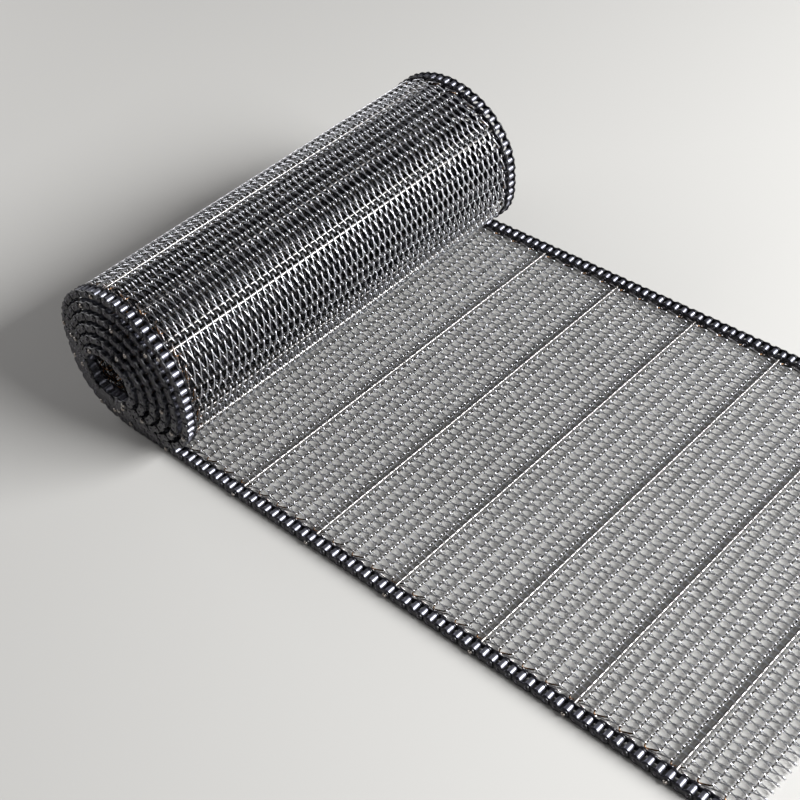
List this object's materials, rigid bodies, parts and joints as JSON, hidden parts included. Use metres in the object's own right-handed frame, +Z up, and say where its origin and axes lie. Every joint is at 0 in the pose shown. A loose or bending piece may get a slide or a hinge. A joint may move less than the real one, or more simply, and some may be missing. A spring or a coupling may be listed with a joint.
{
  "type": "wire mesh conveyor belt",
  "caption": "Chain-edged wire mesh conveyor belt with cross rods, part of it wound in a roll and the rest lying flat in hinged stretches.",
  "frame": {"origin": "on the floor under the middle of the whole belt, roll and flat run together", "axes": "+X along the flat run, away from the roll; +Y across the belt, along its cross rods; +Z up"},
  "size_m": [1.024, 0.6472, 0.2264],
  "materials": {
    "chain_steel": "blackened and oiled, glossy",
    "roller_steel": "blackened and oiled, glossy",
    "cross_rod_steel": "bright drawn",
    "mesh_wire": "bright drawn wire, slightly heat tinted at the edges"
  },
  "bodies": {
    "root": {"right_chain_roll": "chain_steel", "left_chain_roll": "chain_steel", "mesh_roll": "mesh_wire", "right_rollers_0": "roller_steel", "right_inner_plates_0": "chain_steel", "right_outer_plates_0": "chain_steel", "left_rollers_0": "roller_steel", "left_inner_plates_0": "chain_steel", "left_outer_plates_0": "chain_steel", "mesh_0": "mesh_wire", "cross_rod_0": "cross_rod_steel"},
    "panel_1": {"right_rollers_1": "roller_steel", "right_inner_plates_1": "chain_steel", "right_outer_plates_1": "chain_steel", "left_rollers_1": "roller_steel", "left_inner_plates_1": "chain_steel", "left_outer_plates_1": "chain_steel", "mesh_1": "mesh_wire", "cross_rod_1": "cross_rod_steel"},
    "panel_2": {"right_rollers_2": "roller_steel", "right_inner_plates_2": "chain_steel", "right_outer_plates_2": "chain_steel", "left_rollers_2": "roller_steel", "left_inner_plates_2": "chain_steel", "left_outer_plates_2": "chain_steel", "mesh_2": "mesh_wire", "cross_rod_2": "cross_rod_steel"},
    "panel_3": {"right_rollers_3": "roller_steel", "right_inner_plates_3": "chain_steel", "right_outer_plates_3": "chain_steel", "left_rollers_3": "roller_steel", "left_inner_plates_3": "chain_steel", "left_outer_plates_3": "chain_steel", "mesh_3": "mesh_wire", "cross_rod_3": "cross_rod_steel"},
    "panel_4": {"right_rollers_4": "roller_steel", "right_inner_plates_4": "chain_steel", "right_outer_plates_4": "chain_steel", "left_rollers_4": "roller_steel", "left_inner_plates_4": "chain_steel", "left_outer_plates_4": "chain_steel", "mesh_4": "mesh_wire", "cross_rod_4": "cross_rod_steel"},
    "panel_5": {"right_rollers_5": "roller_steel", "right_inner_plates_5": "chain_steel", "right_outer_plates_5": "chain_steel", "left_rollers_5": "roller_steel", "left_inner_plates_5": "chain_steel", "left_outer_plates_5": "chain_steel", "mesh_5": "mesh_wire", "cross_rod_5": "cross_rod_steel"},
    "panel_6": {"right_rollers_6": "roller_steel", "right_inner_plates_6": "chain_steel", "right_outer_plates_6": "chain_steel", "left_rollers_6": "roller_steel", "left_inner_plates_6": "chain_steel", "left_outer_plates_6": "chain_steel", "mesh_6": "mesh_wire"}
  },
  "joints": [
    {"name": "hinge_1", "type": "hinge", "parent": "root", "child": "panel_1", "pos_m": [-0.21782, 0, 0.0059], "axis": [0, -1, 0], "range_deg": [-30, 30]},
    {"name": "hinge_2", "type": "hinge", "parent": "panel_1", "child": "panel_2", "pos_m": [-0.09082, 0, 0.0059], "axis": [0, -1, 0], "range_deg": [-30, 30]},
    {"name": "hinge_3", "type": "hinge", "parent": "panel_2", "child": "panel_3", "pos_m": [0.03618, 0, 0.0059], "axis": [0, -1, 0], "range_deg": [-30, 30]},
    {"name": "hinge_4", "type": "hinge", "parent": "panel_3", "child": "panel_4", "pos_m": [0.16318, 0, 0.0059], "axis": [0, -1, 0], "range_deg": [-30, 30]},
    {"name": "hinge_5", "type": "hinge", "parent": "panel_4", "child": "panel_5", "pos_m": [0.29018, 0, 0.0059], "axis": [0, -1, 0], "range_deg": [-30, 30]},
    {"name": "hinge_6", "type": "hinge", "parent": "panel_5", "child": "panel_6", "pos_m": [0.41718, 0, 0.0059], "axis": [0, -1, 0], "range_deg": [-30, 30]}
  ]
}
